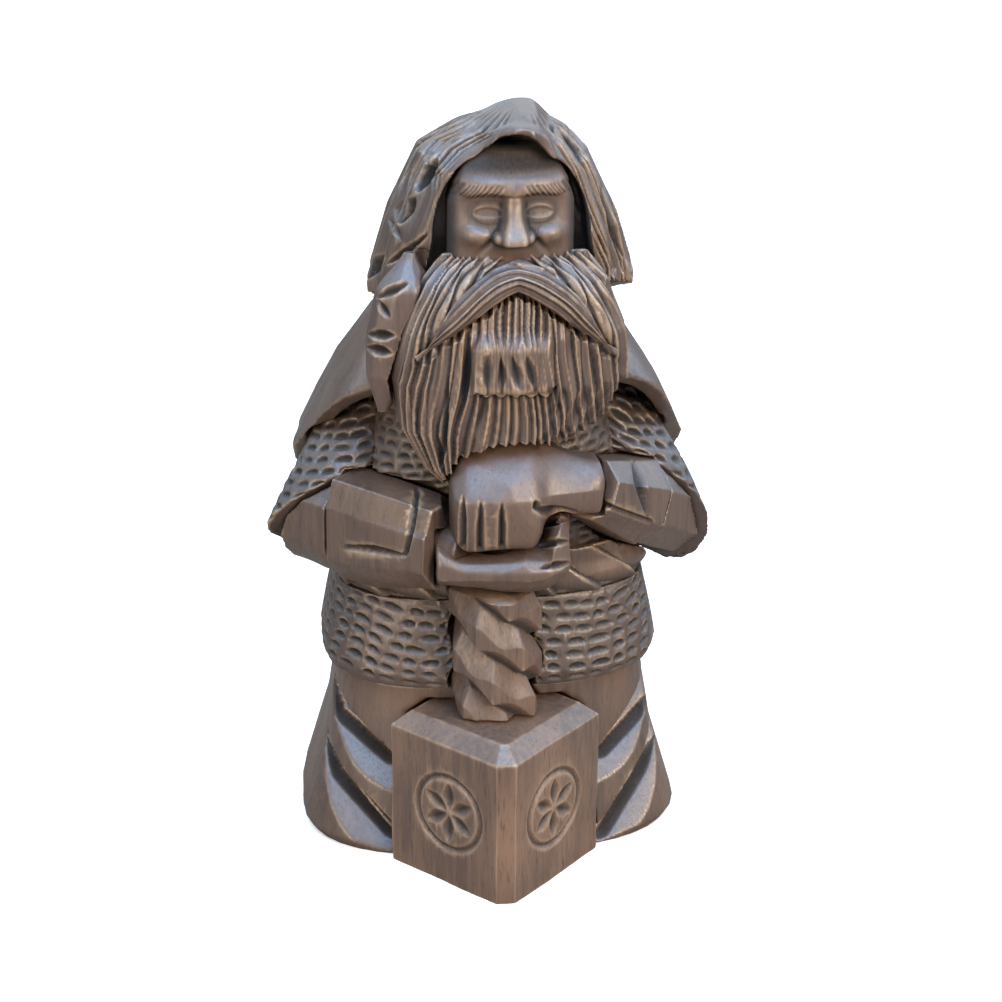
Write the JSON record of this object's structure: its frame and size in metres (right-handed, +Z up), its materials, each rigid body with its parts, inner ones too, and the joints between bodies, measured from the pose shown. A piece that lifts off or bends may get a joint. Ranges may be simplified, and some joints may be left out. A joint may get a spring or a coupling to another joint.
{
  "type": "viking god statue",
  "caption": "Shelf ornament in the look of stained carved wood: a hooded, bearded guardian in cape and mail, resting folded hands on an upright war hammer.",
  "frame": {"origin": "on the ground, in the middle of the bounding box", "axes": "+Z up, -Y to the figure's front, +X to the figure's left"},
  "size_m": [0.0474, 0.0499, 0.08],
  "materials": {
    "cloth_wood": "dark brown stain, satin wax",
    "mail_wood": "dark brown stain, gouged, satin wax",
    "skin_wood": "dark brown stain, smoothed, satin wax",
    "hair_wood": "dark brown stain, grooved, satin wax",
    "hammer_wood": "dark brown stain with open grain, satin wax"
  },
  "bodies": {
    "root": {"robe": "cloth_wood", "mail_skirt": "mail_wood", "waist_sash": "cloth_wood", "mail_tunic": "mail_wood", "right_sleeve": "mail_wood", "left_sleeve": "mail_wood", "right_forearm": "cloth_wood", "left_forearm": "cloth_wood", "right_bracer": "cloth_wood", "left_bracer": "cloth_wood", "right_hand": "skin_wood", "left_hand": "skin_wood", "hammer_head": "hammer_wood", "hammer_haft": "hammer_wood", "beard": "hair_wood", "moustache": "hair_wood", "face": "skin_wood", "hood": "cloth_wood", "cape": "cloth_wood", "right_lock": "hair_wood"}
  },
  "joints": []
}
